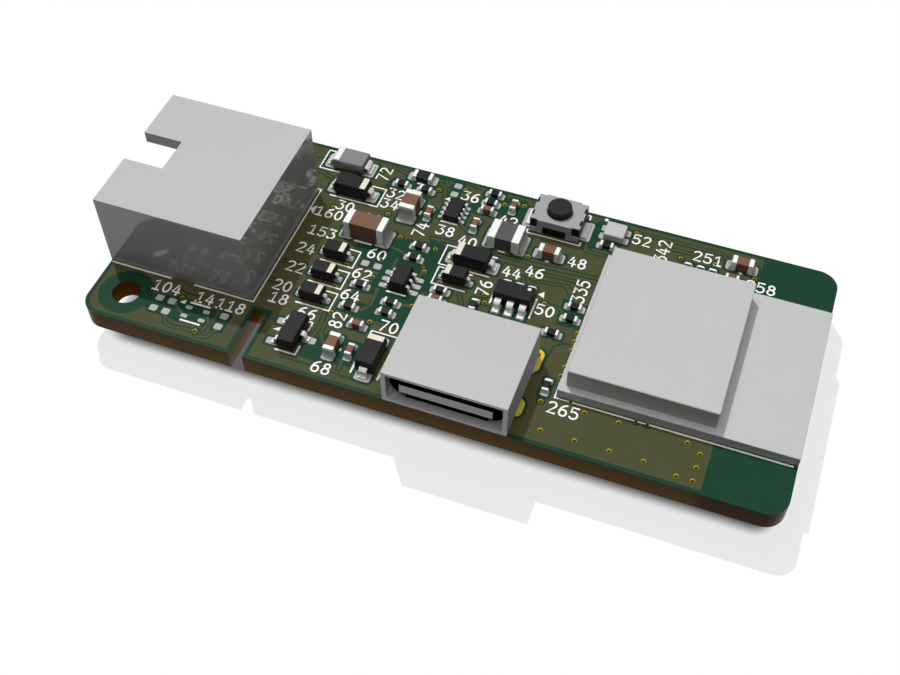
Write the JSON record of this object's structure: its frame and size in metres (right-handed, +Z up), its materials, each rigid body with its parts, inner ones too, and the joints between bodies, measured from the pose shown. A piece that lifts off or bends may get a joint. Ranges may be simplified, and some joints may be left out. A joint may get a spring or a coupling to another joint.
{
  "type": "wifi bridge board",
  "caption": "Narrow circuit board with a side-entry pin header, a shielded wireless module, a power socket on its near edge, a push switch and surface-mounted supply parts.",
  "frame": {"origin": "under the middle of the board's outline, at the tips of the header's pin tails, which are the lowest points", "axes": "+X along the board from the header's mouth to the wireless module, +Y from the power socket's edge to the far edge, +Z up out of the fitted face"},
  "size_m": [0.0516, 0.022, 0.0098],
  "materials": {
    "board": "glass-epoxy laminate under dark green solder mask, brown at its cut edges",
    "module_board": "pale grey coated laminate",
    "shield_metal": "satin tinned sheet",
    "header_plastic": "pale grey moulded nylon, smooth",
    "pin_tin": "bright tin",
    "socket_metal": "satin drawn steel",
    "socket_plastic": "grey moulded plastic",
    "contact_gold": "gold flash",
    "solder": "tinned, slightly domed",
    "switch_metal": "satin sheet",
    "spring_steel": "bright spring sheet",
    "switch_plastic": "black moulded plastic",
    "lamp_resin": "pale resin",
    "grey_moulding": "mid grey moulding",
    "resistor_glaze": "black glaze",
    "ferrite": "dark grey moulded ferrite",
    "capacitor_ceramic": "brown fired ceramic",
    "package_moulding": "black moulding, fine matt grain",
    "lead_tin": "matt tin"
  },
  "bodies": {
    "board_body": {"bus_diode_body": "package_moulding", "bus_diode_leads": "lead_tin", "circuit_board": "board", "filter_capacitor_body": "capacitor_ceramic", "filter_capacitor_terminals": "lead_tin", "gate_diode_body": "package_moulding", "gate_diode_leads": "lead_tin", "header_housing": "header_plastic", "header_pins": "pin_tin", "header_solder": "solder", "inductor_body": "ferrite", "inductor_terminals": "lead_tin", "input_capacitor_body": "capacitor_ceramic", "input_capacitor_terminals": "lead_tin", "input_diode_body": "package_moulding", "input_diode_leads": "lead_tin", "lamp_carrier": "lamp_resin", "lamp_lens": "lamp_resin", "lamp_terminals": "lead_tin", "level_shifter_body": "package_moulding", "level_shifter_leads": "lead_tin", "line_diode_1_body": "package_moulding", "line_diode_1_leads": "lead_tin", "line_diode_2_body": "package_moulding", "line_diode_2_leads": "lead_tin", "line_diode_3_body": "package_moulding", "line_diode_3_leads": "lead_tin", "module_board": "module_board", "module_capacitor_body": "capacitor_ceramic", "module_capacitor_terminals": "lead_tin", "near_capacitor_body": "capacitor_ceramic", "near_capacitor_terminals": "lead_tin", "output_capacitor_body": "capacitor_ceramic", "output_capacitor_terminals": "lead_tin", "power_diode_body": "grey_moulding", "power_diode_leads": "lead_tin", "radio_chip": "package_moulding", "radio_crystal": "shield_metal", "regulator_body": "package_moulding", "regulator_leads": "lead_tin", "reset_guard_body": "package_moulding", "reset_guard_leads": "lead_tin", "resistor_body": "resistor_glaze", "resistor_terminals": "lead_tin", "shield_can": "shield_metal", "small_capacitor_body": "capacitor_ceramic", "small_capacitor_terminals": "lead_tin", "socket_contacts": "contact_gold", "socket_diode_body": "package_moulding", "socket_diode_leads": "lead_tin", "socket_guard_body": "package_moulding", "socket_guard_leads": "lead_tin", "socket_insulator": "socket_plastic", "socket_shell": "socket_metal", "solder_pads": "solder", "switch_base": "switch_plastic", "switch_cover": "switch_metal", "switch_dome": "spring_steel", "switch_terminals": "lead_tin"},
    "button_body": {"switch_plunger": "switch_plastic"}
  },
  "joints": [
    {"name": "button_press", "type": "slide", "parent": "board_body", "child": "button_body", "axis": [0, 0, 1], "range_m": [-0.00025, 0], "stiffness_N_per_m": 4000}
  ]
}
